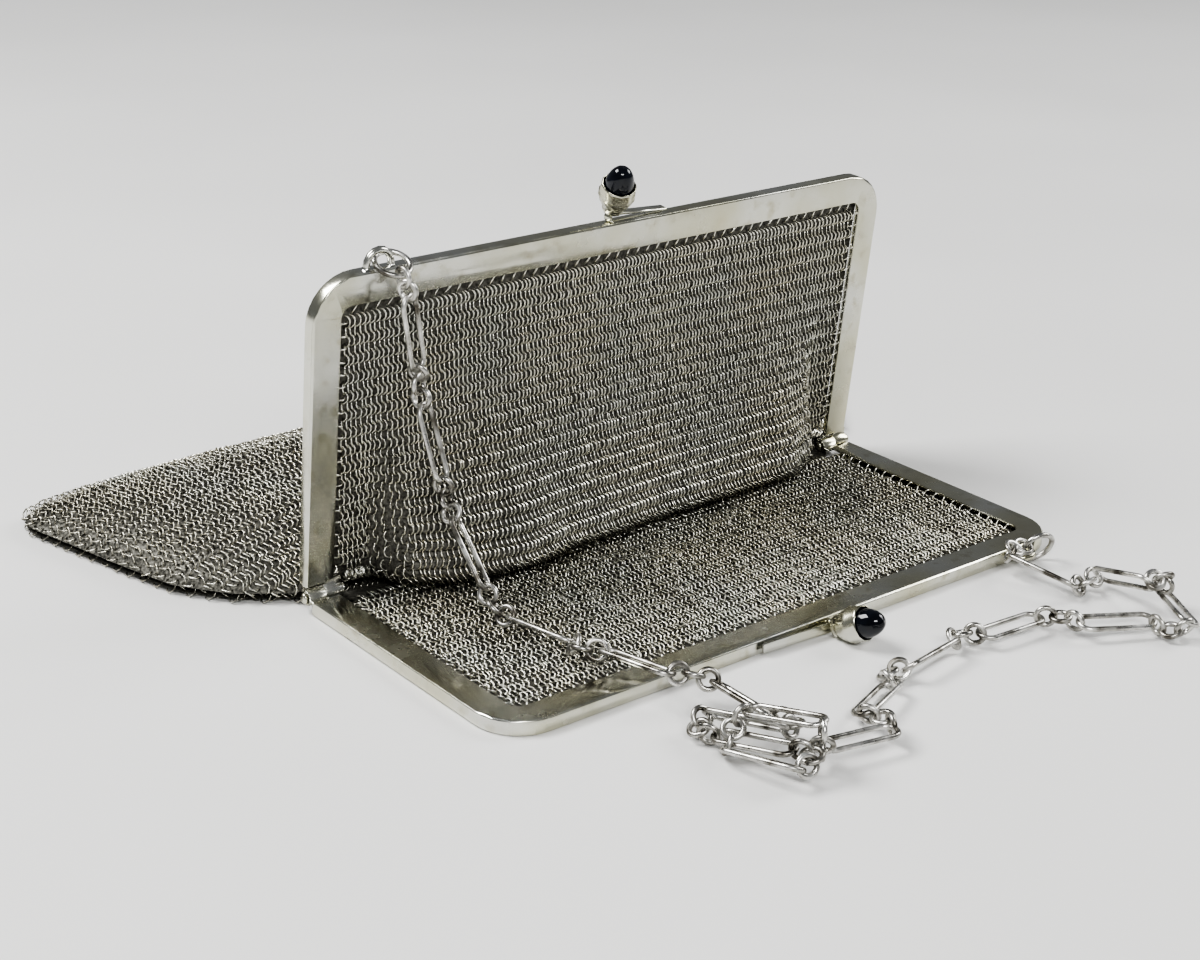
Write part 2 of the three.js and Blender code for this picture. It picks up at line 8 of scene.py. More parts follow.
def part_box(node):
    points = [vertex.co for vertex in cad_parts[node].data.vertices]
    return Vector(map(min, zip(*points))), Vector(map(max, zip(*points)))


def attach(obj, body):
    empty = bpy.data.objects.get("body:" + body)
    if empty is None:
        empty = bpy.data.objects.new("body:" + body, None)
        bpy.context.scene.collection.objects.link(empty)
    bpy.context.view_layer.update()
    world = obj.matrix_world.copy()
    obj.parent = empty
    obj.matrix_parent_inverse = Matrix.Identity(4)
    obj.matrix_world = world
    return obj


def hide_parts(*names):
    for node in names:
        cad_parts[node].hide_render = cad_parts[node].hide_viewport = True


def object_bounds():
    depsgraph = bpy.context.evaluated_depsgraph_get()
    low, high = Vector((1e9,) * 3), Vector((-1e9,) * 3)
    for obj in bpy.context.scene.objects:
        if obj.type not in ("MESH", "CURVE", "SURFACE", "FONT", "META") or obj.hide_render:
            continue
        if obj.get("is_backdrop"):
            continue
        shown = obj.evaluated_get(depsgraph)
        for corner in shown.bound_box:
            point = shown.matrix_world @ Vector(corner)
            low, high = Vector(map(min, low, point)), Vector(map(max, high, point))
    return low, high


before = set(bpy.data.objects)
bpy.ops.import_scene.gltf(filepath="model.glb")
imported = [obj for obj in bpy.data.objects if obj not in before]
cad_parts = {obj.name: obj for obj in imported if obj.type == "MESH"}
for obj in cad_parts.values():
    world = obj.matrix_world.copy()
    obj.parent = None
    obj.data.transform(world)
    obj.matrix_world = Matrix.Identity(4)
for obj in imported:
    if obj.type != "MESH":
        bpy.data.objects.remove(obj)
cad_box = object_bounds()
rng = np.random.default_rng(7)

# Sizes of the solids
LEG_LENGTH = 68.4
FRAME_DEPTH = 3.2
BAND_WIDTH = 6.3
HALF_WIDTH = 76
FORWARD_LEAN = 5.74
CHANNEL_MIDDLE = -FRAME_DEPTH / 2
KNOB_ACROSS = -3.4
STRIP_BEHIND = 1.4
STRIP_RISE = 2.3
KNOB_LEAN = 24
KNOB_TURN = 11
STONE_RADIUS = 3.05
STONE_FOOT = 6.2
STONE_HEIGHT = 6.4
STONE_TIP = 0.004
STONE_TURNS = 48
STONE_STEPS = 5
STONE_WIDE = np.array([0, 0.9, 1, 1, 0.93, 0.75, 0.44, 0])
STONE_HIGH = np.array([0, 0, 0.08, 0.28, 0.5, 0.73, 0.92, 1])
LOOP_ACROSS = -61
JUMP_RADIUS = 3.6
JUMP_WIRE = 1.2
LINK_WIRE = 1.1
LONG_LINK = 17.4
LINK_WIDTH = 5.5
SMALL_LINK = 4.9
SOLDER_LAP = 0.32
FIT_GAP = 0.3

# Sizes of the bag
THROAT_HALF = 66.9
THROAT_START = 3.5
FOOT_START = 6.1
KNUCKLE_RADIUS = 1.7
BODY_DEPTH = 77
BODY_HALF_WIDTH = 105
BODY_RISE = 11.5
BODY_FLOOR = 1.2
THROAT_HEIGHT = 3.2
BULGE_TOP = 55
BULGE_POWER = 2.6
CREASE_DEPTH = 17
TAIL_WIDTH = 0.955
BAG_WALL = 1.4
BAR_LAP = 0.3
LEG_LAP = 0.2
SHEET_COLUMNS = 81
CREASE_ACROSS = np.array([-1, -0.92, -0.84, -0.68, -0.45, -0.22, 0.22, 0.7, 0.86, 0.92, 1])
CREASE_FORWARD = np.array([-0.1, -0.1, 0.62, 0.88, 1, 0.86, 0.78, 0.76, 0.5, -0.1, -0.1])
BODY_BACK = np.array([0.065, 0.16, 0.3, 0.5, 0.7, 0.87, 0.96])
BODY_WIDTH = np.array([0.72, 0.82, 0.895, 0.935, 0.97, 1, 0.985])
BODY_LIFT = np.array([0.38, 0.66, 0.92, 1, 0.92, 0.68, 0.38])
FOLDS = [
    (-0.72, 0.3, 0.12, 0.2),
    (-0.45, 0.62, 0.16, 0.24),
    (-0.1, 0.4, 0.18, -0.22),
    (0.3, 0.68, 0.2, 0.2),
    (0.62, 0.35, 0.14, 0.16),
]

# Rings of the weave and of the window edges
RING_RADIUS = 1.32
RING_WIRE = 0.4
RING_SIDES = 3
EDGE_PITCH = 2.7
EDGE_RADIUS = 1.5
EDGE_STEPS = 10
EDGE_SIDES = 5
BAR_INSET = 0.9
LEG_INSET = 0.8

# Weave on each part of the bag. Lean and tip are degrees, and loose is how uneven they are. Steps are
# the corners of one ring, columns the rings in a row, pitch the row spacing and margin the bare edge.
WINDOW_MARGIN = 1.7 / HALF_WIDTH
BODY_MARGIN = 0.004
WEAVES = {
    "upright": dict(lean=50, tip=8, loose=3, steps=9, columns=128, pitch=1.95, margin=WINDOW_MARGIN),
    "fold": dict(lean=51, tip=16, loose=5, steps=8, columns=128, pitch=1.95, margin=WINDOW_MARGIN),
    "body": dict(lean=48, tip=14, loose=6, steps=7, columns=160, pitch=1.7, margin=BODY_MARGIN),
    "under": dict(lean=40, tip=0, loose=3, steps=6, columns=110, pitch=1.95, margin=BODY_MARGIN),
    "lying": dict(lean=48, tip=8, loose=5, steps=8, columns=128, pitch=1.7, margin=WINDOW_MARGIN),
}

# Chosen places of the long links in millimetres and degrees: x, y, z, heading, pitch, roll
CHAIN_ROUTE = [
    (-56.5, -10.9, 58.8, 25, -77, -20),
    (-52.8, -11.8, 35.4, -64, -74, -25),
    (-52.1, -23.3, 15.4, -92, -43, -35),
    (-49.7, -43.8, 5.9, -78, 0, -33),
    (-44.2, -66.3, 6.8, -77, 1, -20),
    (-35.1, -86.3, 4.5, -89, -2, -30),
    (-40.1, -92, 4.5, 111, -6, 43),
    (-43.3, -98, 3.7, -71, 7, 3),
    (-45.5, -102.6, 3, 105, -6, 29),
    (-38.7, -100.6, 8.8, -75, 10, -1),
    (-27.1, -107.9, 3.6, -11, -1, -3),
    (-12.2, -98, 2.6, 22, -3, -20),
    (8.3, -92.2, 2.9, 9, 0, -43),
    (31, -92.8, 2.8, -4, 0, 0),
    (49.4, -104.7, 3.1, -27, -2, 10),
    (63.7, -108.3, 3.9, 59, 0, 27),
    (63.2, -95.1, 5.2, 81, -15, 50),
    (54.2, -81.2, 4.2, 100, 7, 30),
]

# Camera fitted to the corners of the frame in the photograph, in metres from the hinge
CAMERA_PLACE = Vector((-0.271006, -0.332563, 0.188301))
CAMERA_RIGHT = Vector((0.78091164, -0.62426911, 0.02156572))
CAMERA_UP = Vector((0.22341619, 0.31138404, 0.92364776))
CAMERA_FORWARD = Vector((0.58331999, 0.71646916, -0.38263525))
FOCAL_PIXELS = 2092.64
PHOTO_PIXELS = 1200
SENSOR_WIDTH = 36

# The hinge line's place, read from its two pins
left_low, left_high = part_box("hinge_pin_left")
right_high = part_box("hinge_pin_right")[1]
hinge_place = Vector(((left_low.x + right_high.x) / 2, (left_low.y + left_high.y) / 2, 0))


def to_metres(points):
    return np.asarray(points, float) * 0.001 + np.array(hinge_place)


# The two halves' own axes: across, out from the hinge, and over the inner face
hinge_height = Matrix.Translation((0, 0, FRAME_DEPTH))
upright_turn = hinge_height @ Matrix.Rotation(math.radians(90 + FORWARD_LEAN), 4, "X")
lying_turn = hinge_height @ Matrix.Rotation(math.pi, 4, "Z")


# Camera at the photograph's viewing angle
def make_camera():
    data = bpy.data.cameras.new("camera")
    data.sensor_width = SENSOR_WIDTH
    data.lens = FOCAL_PIXELS * SENSOR_WIDTH / PHOTO_PIXELS
    data.clip_start = 0.01
    data.clip_end = 20
    camera = bpy.data.objects.new("camera", data)
    turn = Matrix((CAMERA_RIGHT, CAMERA_UP, -CAMERA_FORWARD)).transposed().to_4x4()
    camera.matrix_world = Matrix.Translation(hinge_place + CAMERA_PLACE) @ turn
    bpy.context.scene.collection.objects.link(camera)
    bpy.context.scene.camera = camera


# Materials
class Nodes:
    """Short ways to add shader nodes to one new material."""

    def __init__(self, name):
        self.material = bpy.data.materials.new(name)
        self.material.use_nodes = True
        self.tree = self.material.node_tree
        self.shader = self.tree.nodes["Principled BSDF"]
        self.place = self.add("ShaderNodeTexCoord").outputs["Object"]

    def add(self, kind, **values):
        node = self.tree.nodes.new(kind)
        for name, value in values.items():
            setattr(node, name, value)
        return node

    def link(self, source, target):
        self.tree.links.new(source, target)

    def stretched(self, scale):
        node = self.add("ShaderNodeMapping")
        node.inputs["Scale"].default_value = scale
        self.link(self.place, node.inputs["Vector"])
        return node.outputs["Vector"]

    def noise(self, scale, detail=3, source=None):
        node = self.add("ShaderNodeTexNoise")
        node.inputs["Scale"].default_value = scale
        node.inputs["Detail"].default_value = detail
        self.link(source or self.place, node.inputs["Vector"])
        return node.outputs["Fac"]

    def ramp(self, source, stops):
        node = self.add("ShaderNodeValToRGB")
        points = node.color_ramp.elements
        while len(points) < len(stops):
            points.new(0.5)
        for point, (at, colour) in zip(points, stops):
            point.position = at
            point.color = (*colour, 1)
        self.link(source, node.inputs["Fac"])
        return node.outputs["Color"]

    def mix(self, factor, first, second, blend="MIX"):
        node = self.add("ShaderNodeMix", data_type="RGBA", blend_type=blend)
        for number, value in ((0, factor), (6, first), (7, second)):
            socket = node.inputs[number]
            if isinstance(value, tuple):
                socket.default_value = (*value, 1)
            elif isinstance(value, (int, float)):
                socket.default_value = value
            else:
                self.link(value, socket)
        return node.outputs[2]

    def spread(self, source, low, high, start=0.3, end=0.7):
        node = self.add("ShaderNodeMapRange")
        node.inputs["From Min"].default_value = start
        node.inputs["From Max"].default_value = end
        node.inputs["To Min"].default_value = low
        node.inputs["To Max"].default_value = high
        self.link(source, node.inputs["Value"])
        return node.outputs["Result"]

    def bump(self, source, strength, distance, onto=None):
        node = self.add("ShaderNodeBump")
        node.inputs["Strength"].default_value = strength
        node.inputs["Distance"].default_value = distance
        self.link(source, node.inputs["Height"])
        if onto:
            self.link(onto, node.inputs["Normal"])
        return node.outputs["Normal"]


def silver_material():
    """Polished silver plate: warm tarnish in patches, dull smears and fine scratches."""
    n = Nodes("silver")
    patches = n.noise(42, 4)
    warm = n.ramp(patches, [
        (0.38, (0.68, 0.68, 0.63)),
        (0.55, (0.6, 0.59, 0.48)),
        (0.72, (0.53, 0.5, 0.36)),
    ])
    dull = n.ramp(n.noise(300, 5), [(0.55, (0, 0, 0)), (0.75, (1, 1, 1))])
    n.link(n.mix(dull, warm, (0.5, 0.48, 0.38)), n.shader.inputs["Base Color"])
    n.shader.inputs["Metallic"].default_value = 1
    n.link(n.spread(n.noise(120, 5), 0.1, 0.32), n.shader.inputs["Roughness"])
    along = n.noise(1, 2, n.stretched((60, 2600, 2600)))
    across = n.noise(1, 2, n.stretched((2600, 300, 60)))
    scratches = n.bump(along, 0.1, 0.00004)
    scratches = n.bump(across, 0.07, 0.00004, scratches)
    n.link(n.bump(n.noise(55, 2), 0.3, 0.0006, scratches), n.shader.inputs["Normal"])
    return n.material


def mesh_material():
    """Silver wire of the rings: painted shade darkens the wire deep inside the weave, and the wire that
    stands proud is painted lighter.
    """
    n = Nodes("mesh_silver")
    proud = n.add("ShaderNodeAttribute", attribute_name="proud").outputs["Fac"]
    # Painted shade: the base colour runs from dark where the wire lies deep in the weave to light where it
    # stands proud
    tarnish_and_painted_shade = n.ramp(proud, [
        (0.05, (0.11, 0.105, 0.09)),
        (0.45, (0.45, 0.44, 0.4)),
        (0.85, (0.87, 0.86, 0.81)),
    ])
    patches = n.ramp(n.noise(45, 3), [(0.35, (0.92, 0.93, 0.9)), (0.65, (1, 0.97, 0.88))])
    n.link(n.mix(1.0, tarnish_and_painted_shade, patches, "MULTIPLY"), n.shader.inputs["Base Color"])
    n.shader.inputs["Metallic"].default_value = 1
    n.link(n.spread(n.noise(500, 2), 0.2, 0.34), n.shader.inputs["Roughness"])
    return n.material


def painted_shade_sheet_material():
    """A dark sheet under the rings: painted shade that fills the gaps of the weave."""
    n = Nodes("painted_shade_sheet")
    grain = n.noise(1400, 3)
    dark = n.ramp(grain, [(0.35, (0.06, 0.058, 0.05)), (0.7, (0.19, 0.185, 0.16))])
    n.link(dark, n.shader.inputs["Base Color"])
    n.shader.inputs["Metallic"].default_value = 0.6
    n.shader.inputs["Roughness"].default_value = 0.5
    n.link(n.bump(grain, 0.6, 0.0003), n.shader.inputs["Normal"])
    return n.material


def chain_material():
    """Chain wire: greyer silver with dark tarnish in patches and a slightly hammered skin."""
    n = Nodes("aged_silver")
    tarnish_and_painted_shade = n.ramp(n.noise(260, 4), [
        (0.34, (0.14, 0.13, 0.11)),
        (0.48, (0.46, 0.45, 0.42)),
        (0.66, (0.74, 0.73, 0.7)),
    ])
    n.link(tarnish_and_painted_shade, n.shader.inputs["Base Color"])
    n.shader.inputs["Metallic"].default_value = 1
    n.link(n.spread(n.noise(400, 3), 0.2, 0.42), n.shader.inputs["Roughness"])
    n.link(n.bump(n.noise(900, 2), 0.2, 0.0002), n.shader.inputs["Normal"])
    return n.material


def stone_material():
    """Polished near-black stone with a blue cast."""
    n = Nodes("dark_stone")
    depth = n.ramp(n.noise(300, 3), [(0.4, (0.002, 0.003, 0.006)), (0.65, (0.006, 0.008, 0.014))])
    n.link(depth, n.shader.inputs["Base Color"])
    n.link(n.spread(n.noise(500, 2), 0.04, 0.09), n.shader.inputs["Roughness"])
    n.shader.inputs["Coat Weight"].default_value = 0.2
    n.shader.inputs["Coat Roughness"].default_value = 0.03
    return n.material


def floor_material():
    n = Nodes("floor")
    pale = n.ramp(n.noise(6, 2), [(0.3, (0.72, 0.715, 0.7)), (0.7, (0.76, 0.755, 0.74))])
    n.link(pale, n.shader.inputs["Base Color"])
    n.shader.inputs["Roughness"].default_value = 0.55
    return n.material


silver = silver_material()
mesh_silver = mesh_material()
painted_shade_sheet = painted_shade_sheet_material()
aged_silver = chain_material()
dark_stone = stone_material()


# Meshes
def new_piece(name, points, faces, material, replaced=()):
    """A smooth mesh from millimetre points and four-cornered faces, none of it below the floor."""
    points = to_metres(points)
    points[:, 2] = np.maximum(points[:, 2], 0)
    faces = np.asarray(faces, np.int32)
    mesh = bpy.data.meshes.new(name)
    mesh.vertices.add(len(points))
    mesh.vertices.foreach_set("co", points.astype(np.float32).ravel())
    mesh.loops.add(faces.size)
    mesh.loops.foreach_set("vertex_index", faces.ravel())
    mesh.polygons.add(len(faces))
    mesh.polygons.foreach_set("loop_start", np.arange(0, faces.size, faces.shape[1], dtype=np.int32))
    mesh.update(calc_edges=True)
    mesh.polygons.foreach_set("use_smooth", np.ones(len(faces), bool))
    mesh.materials.append(material)
    piece = bpy.data.objects.new(name, mesh)
    bpy.context.scene.collection.objects.link(piece)
    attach(piece, "root")
    if replaced:
        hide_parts(*replaced)
    return piece


def mark_proud(piece, values):
    """How far each point stands out of the weave, which the wire's material turns into painted shade deep in
    the weave.
    """
    layer = piece.data.attributes.new("proud", "FLOAT", "POINT")
    layer.data.foreach_set("value", values.astype(np.float32))


def grid_faces(rows, columns, closed_rows=False, closed_columns=False):
    down = np.arange(rows if closed_rows else rows - 1)
    along = np.arange(columns if closed_columns else columns - 1)
    i, k = np.meshgrid(down, along, indexing="ij")
    corner = lambda a, b: (a % rows) * columns + b % columns
    quads = np.stack([corner(i, k), corner(i, k + 1), corner(i + 1, k + 1), corner(i + 1, k)], -1)
    return quads.reshape(-1, 4)


def wire_loop(outline, wire, sides):
    """A closed wire round a flat outline in the XY plane, as points and faces."""
    ahead = np.roll(outline, -1, 0) - np.roll(outline, 1, 0)
    out = np.stack([ahead[:, 1], -ahead[:, 0]], -1)
    out /= np.linalg.norm(out, axis=1, keepdims=True)
    turn = 2 * np.pi * np.arange(sides) / sides
    points = np.zeros((len(outline), sides, 3))
    points[:, :, :2] = outline[:, None, :] + out[:, None, :] * (np.cos(turn) * wire / 2)[None, :, None]
    points[:, :, 2] = (np.sin(turn) * wire / 2)[None, :]
    return points.reshape(-1, 3), grid_faces(len(outline), sides, True, True)


def circle(radius, steps, start=0.0):
    angle = start + 2 * np.pi * np.arange(steps) / steps
    return np.stack([np.cos(angle), np.sin(angle)], -1) * radius


# Shape of the bag
def smooth_table(at, keys, values):
    at = np.clip(at, keys[0], keys[-1])
    before = np.clip(np.searchsorted(keys, at, side="right") - 1, 0, len(keys) - 2)
    share = (at - keys[before]) / (keys[before + 1] - keys[before])
    share = share * share * (3 - 2 * share)
    return values[before] + (values[before + 1] - values[before]) * share


def crease_at(x):
    return CREASE_DEPTH * smooth_table(x / THROAT_HALF, CREASE_ACROSS, CREASE_FORWARD)


def bulge_at(x, out):
    share = max(0, 1 - out / BULGE_TOP) / (1 - THROAT_START / BULGE_TOP)
    return np.maximum(0, crease_at(x)) * share ** BULGE_POWER


def from_upright(x, out, over):
    """Places measured in the upright half: across, out from the hinge and over its plane."""
    lean = math.radians(90 + FORWARD_LEAN)
    y = out * math.cos(lean) - over * math.sin(lean)
    z = FRAME_DEPTH + out * math.sin(lean) + over * math.cos(lean)
    return np.stack([x, y, z], -1)


def window_half(out):
    edge = HALF_WIDTH - BAND_WIDTH + LEG_LAP
    return np.interp(out, [THROAT_START, FOOT_START], [THROAT_HALF, edge])


def upright_row(across, out):
    x = across * window_half(out)
    return from_upright(x, out + 0 * x, CHANNEL_MIDDLE + bulge_at(x, out))


def lying_row(across, out):
    x = across * window_half(out)
    inside = np.maximum(0, 1 - (x / (HALF_WIDTH - BAND_WIDTH)) ** 8)
    span = max(0, math.sin(math.pi * min(1, out / (LEG_LENGTH - BAND_WIDTH))))
    wave = 0.5 * np.sin(x * 14 / HALF_WIDTH) * math.sin(out * 9 / LEG_LENGTH + 1)
    z = FRAME_DEPTH + CHANNEL_MIDDLE + wave * inside * span * BAG_WALL / 2
    return np.stack([x, -out + 0 * x, z], -1)


def throat_back(across):
    return (KNUCKLE_RADIUS + 1.5) * np.abs(across) ** 8


def fold_row(across, share):
    x = across * THROAT_HALF
    front = -(crease_at(x) - BAG_WALL / 2)
    y = front + (throat_back(across) - front) * share
    side = np.abs(across) ** 10 * (1 - share)
    return np.stack([x, y, BODY_FLOOR + THROAT_HEIGHT + side + 0.2 * (1 - share)], -1)


def fold_lift(across, back):
    lift = 0 * across
    for fold_across, fold_back, reach, rise in FOLDS:
        away = ((across - fold_across) ** 2 + (back - fold_back) ** 2) / reach ** 2
        lift = lift + rise * BODY_RISE * np.exp(-away)
    return lift * (1 - across ** 6)


def body_row(across, back, side):
    x = across * np.interp(back, BODY_BACK, BODY_WIDTH) * BODY_HALF_WIDTH
    rise = np.interp(back, BODY_BACK, BODY_LIFT)
    lens = np.sqrt(np.maximum(0, 1 - np.abs(across) ** 5))
    span = np.maximum(rise * BODY_RISE * lens, BAG_WALL * 0.7)
    above = span + fold_lift(across, back) * rise if side == "top" else 0 * x
    z = BODY_FLOOR + above
    return np.stack([x, back * BODY_DEPTH + 0 * x, z], -1)


def tail_row(across):
    x = across * TAIL_WIDTH * BODY_HALF_WIDTH
    y = BODY_DEPTH * (1 - 0.05 * np.abs(across) ** 3)
    return np.stack([x, y, BODY_FLOOR + BAG_WALL * 0.8 + 0 * across], -1)


def sheet_parts(across):
    """The sheet as lists of rows, from the upright bar round the tail to the lying bar."""
    top = LEG_LENGTH - BAND_WIDTH + BAR_LAP
    upright = [upright_row(across, out) for out in np.linspace(top, THROAT_START, 60)]
    fold = [fold_row(across, share) for share in np.linspace(0, 1, 12)]
    backs = np.linspace(BODY_BACK[0], BODY_BACK[-1], 60)
    body = [body_row(across, back, "top") for back in backs]
    body.append(tail_row(across))
    under = [body_row(across, back, "under") for back in backs[::-1]]
    under.append(np.stack([across * THROAT_HALF, throat_back(across), BODY_FLOOR + 0 * across], -1))
    lying = [lying_row(across, out) for out in np.linspace(THROAT_START, top, 50)]
    return {"upright": upright, "fold": fold, "body": body, "under": under, "lying": lying}


def ring_places(rows, pitch, first_row, columns, margin):
    """Even rows of rings on part of the sheet: middles, ways across and out, odd rows and row count."""
    grid = np.array(rows)
    column_count = grid.shape[1]
    steps = np.linalg.norm(np.diff(grid[:, column_count // 2], axis=0), axis=1)
    run = np.concatenate([[0], np.cumsum(steps)])
    count = max(2, round(run[-1] / pitch))
    places = (np.arange(count) + 0.5) * run[-1] / count
    down = np.interp(places, run, np.arange(len(run)))
    odd = (first_row + np.arange(count)) % 2
    shares = (np.arange(columns)[None, :] + 0.25 + 0.5 * odd[:, None]) / columns
    shares = 0.5 + (shares - 0.5) * (1 - margin) + 0.012 * np.sin(2 * np.pi * shares)
    along = shares * (column_count - 1)
    downs = np.repeat(down[:, None], columns, 1)
    i = np.clip(downs.astype(int), 0, len(run) - 2)
    k = np.clip(along.astype(int), 0, column_count - 2)
    a = (downs - i)[..., None]
    b = (along - k)[..., None]
    near = grid[i, k] * (1 - b) + grid[i, k + 1] * b
    far = grid[i + 1, k] * (1 - b) + grid[i + 1, k + 1] * b
    middles = near * (1 - a) + far * a
    across_way = (grid[i, k + 1] - grid[i, k]) * (1 - a) + (grid[i + 1, k + 1] - grid[i + 1, k]) * a
    across_way /= np.linalg.norm(across_way, axis=-1, keepdims=True) + 1e-9
    down_way = far - near
    out_way = np.cross(down_way, across_way)
    out_way /= np.linalg.norm(out_way, axis=-1, keepdims=True) + 1e-9
    odds = np.repeat(odd[:, None], columns, 1)
    flat = lambda values: values.reshape(-1, values.shape[-1])
    return flat(middles), flat(across_way), flat(out_way), odds.ravel(), count


def wander(places, size, length):
    """A slow random drift over the sheet, up to a size, with waves of about a given length."""
    waves = rng.normal(0, 2 * np.pi / length, (5, 3))
    return size * np.sin(places @ waves.T + rng.uniform(0, 6, 5)).mean(-1)


def lay_rings(name, rows, first_row, lean, tip, loose, steps, columns, pitch, margin):
    """Rings over part of the sheet. Even and odd rows lean opposite ways, as in a four-in-one weave."""
    middles, across_way, out_way, odds, row_count = ring_places(rows, pitch, first_row, columns, margin)
    count = len(middles)
    points, faces = wire_loop(circle(RING_RADIUS, steps, np.pi / steps), RING_WIRE, RING_SIDES)
    leans = lean + wander(middles, 3 * loose, 25)
    tilt = np.radians(np.where(odds == 1, leans, -leans) + rng.normal(0, loose, count))[:, None]
    normal = out_way * np.cos(tilt) + across_way * np.sin(tilt)
    first = across_way * np.cos(tilt) - out_way * np.sin(tilt)
    second = np.cross(normal, first)
    swing = np.radians(rng.normal(tip, loose, count))[:, None]
    tipped = normal * np.cos(swing) + second * np.sin(swing)
    second = second * np.cos(swing) - normal * np.sin(swing)
    normal = tipped
    shift = rng.normal(0, 0.02 * loose, (count, 3)) * (0.4 + 0.6 * np.abs(across_way))
    shift += across_way * (wander(middles, 0.12 * loose, 9))[:, None]
    placed = (
        (middles + shift)[:, None, :]
        + points[None, :, 0:1] * first[:, None, :]
        + points[None, :, 1:2] * second[:, None, :]
        + points[None, :, 2:3] * normal[:, None, :]
    )
    # How far each point stands out, used by the material to paint shade deep in the weave
    proud = np.abs(((placed - middles[:, None, :]) * out_way[:, None, :]).sum(-1)) / (0.8 * RING_RADIUS)
    all_faces = faces[None] + (np.arange(count) * len(points))[:, None, None]
    piece = new_piece(name, placed.reshape(-1, 3), all_faces.reshape(-1, 4), mesh_silver)
    mark_proud(piece, proud.ravel())
    return row_count


def edge_rings(name, turn_up, row_at, wire_way):
    """The rings that hang the weave on the band, round the three edges of a window."""
    top = LEG_LENGTH - BAND_WIDTH
    side = HALF_WIDTH - BAND_WIDTH
    places = [(across, top - BAR_INSET) for across in np.arange(-side + 1.6, side - 1.2, EDGE_PITCH)]
    legs = np.arange(FOOT_START + 1.5, top - 1.2, EDGE_PITCH)
    places += [(LEG_INSET - side, out) for out in legs]
    places += [(side - LEG_INSET, out) for out in legs]
    shape, shape_faces = wire_loop(circle(EDGE_RADIUS, EDGE_STEPS), RING_WIRE, EDGE_SIDES)
    points, faces = [], []
    for across, out in places:
        at = row_at(np.array([across / side]), out)[0]
        along = turn_up @ Vector((0.5, 0.85, 0) if out > top - 1 else (0.95, 0.3 * np.sign(across), 0))
        along = (along + Vector(rng.normal(0, 0.12, 3))).normalized()
        normal = along.cross(turn_up @ wire_way).normalized()
        turn = np.array(Matrix((along, normal.cross(along), normal)).transposed())
        faces.append(shape_faces + len(points) * len(shape))
        points.append(shape @ turn.T + at)
    piece = new_piece(name, np.concatenate(points), np.concatenate(faces), mesh_silver)
    # Edge rings get one fixed value, near the light end of the painted shade
    mark_proud(piece, np.full(len(piece.data.vertices), 0.8))


def make_bag():
    parts = sheet_parts(np.linspace(-1, 1, SHEET_COLUMNS))
    # A dark sheet along the middle of the bag, standing in for the shade seen through the gaps between the
    # rings
    shade_sheet_grid = np.array(sum(parts.values(), [])[::2])
    shade_sheet_faces = grid_faces(*shade_sheet_grid.shape[:2])
    new_piece("painted_shade_sheet", shade_sheet_grid.reshape(-1, 3), shade_sheet_faces, painted_shade_sheet, ["mesh_bag"])
    upright = parts["upright"][3:]
    body = parts["body"]
    lying = parts["lying"][:-2]
    pieces = [
        ("mesh_upright_high", upright[:29], "upright"),
        ("mesh_upright_low", upright[28:], "upright"),
        ("mesh_fold", parts["fold"], "fold"),
        ("mesh_body_front", body[:31], "body"),
        ("mesh_body_back", body[30:], "body"),
        ("mesh_under", parts["under"], "under"),
        ("mesh_lying_near", lying[:25], "lying"),
        ("mesh_lying_far", lying[24:], "lying"),
    ]
    row = 0
    for name, rows, weave in pieces:
        row += lay_rings(name, rows, row, **WEAVES[weave])
    edge_rings("edge_rings_upright", upright_turn.to_3x3(), upright_row, Vector((-0.63, 0, 0.78)))
    edge_rings("edge_rings_lying", lying_turn.to_3x3(), lying_row, Vector((0.4, 0, 0.9)))


# Chain
def link_radius(kind):
    return ((LINK_WIDTH if kind == "long" else SMALL_LINK) - LINK_WIRE) / 2


def link_half(kind):
    return ((LONG_LINK if kind == "long" else SMALL_LINK) - LINK_WIRE) / 2


def link_reach(kind):
    return 2 * link_half(kind) - (LINK_WIRE - SOLDER_LAP)


def link_shape(kind):
    outline = circle(link_radius(kind), 24, np.pi / 24)
    outline[:, 0] += np.sign(outline[:, 0]) * (link_half(kind) - link_radius(kind))
    return wire_loop(outline, LINK_WIRE, 8)


def link_matrix(start, end, up, roll):
    along = (end - start).normalized()
    side = up.cross(along).normalized()
    normal = Matrix.Rotation(roll, 3, along) @ along.cross(side)
    across = normal.cross(along)
    turn = Matrix((along, across, normal)).transposed().to_4x4()
    return Matrix.Translation((start + end) / 2) @ turn


def bridge(start, end, reaches, bulge):
    """Joints of small links between two places: equal steps on an arc that bulges to one side."""
    span = end - start
    distance = span.length
    length = sum(reaches)
    along = span.normalized()
    side = (bulge - along * bulge.dot(along)).normalized()
    joints = [start.copy()]
    if distance >= length * 0.999:
        run = 0
        for reach in reaches:
            run += reach
            joints.append(start + along * (distance * run / length))
        return joints
    turned = lambda radius: sum(2 * math.asin(min(1, reach / 2 / radius)) for reach in reaches)
    low = max(reaches) / 2
    high = length * 40
    for _ in range(60):
        radius = (low + high) / 2
        if 2 * radius * math.sin(min(turned(radius), 2 * math.pi) / 2) < distance:
            low = radius
        else:
            high = radius
    angle = -turned(radius) / 2
    centre = (start + end) / 2 - side * (radius * math.cos(angle))
    for reach in reaches:
        angle += 2 * math.asin(min(1, reach / 2 / radius))
        joints.append(centre + along * (radius * math.sin(angle)) + side * (radius * math.cos(angle)))
    return joints


def route_link(row):
    x, y, z, heading, pitch, roll = row
    heading, pitch = math.radians(heading), math.radians(pitch)
    level = math.cos(pitch)
    along = Vector((level * math.cos(heading), level * math.sin(heading), math.sin(pitch)))
    half = along * (link_reach("long") / 2)
    middle = Vector((x, y, z))
    return {"along": along, "roll": math.radians(roll), "start": middle - half, "end": middle + half}


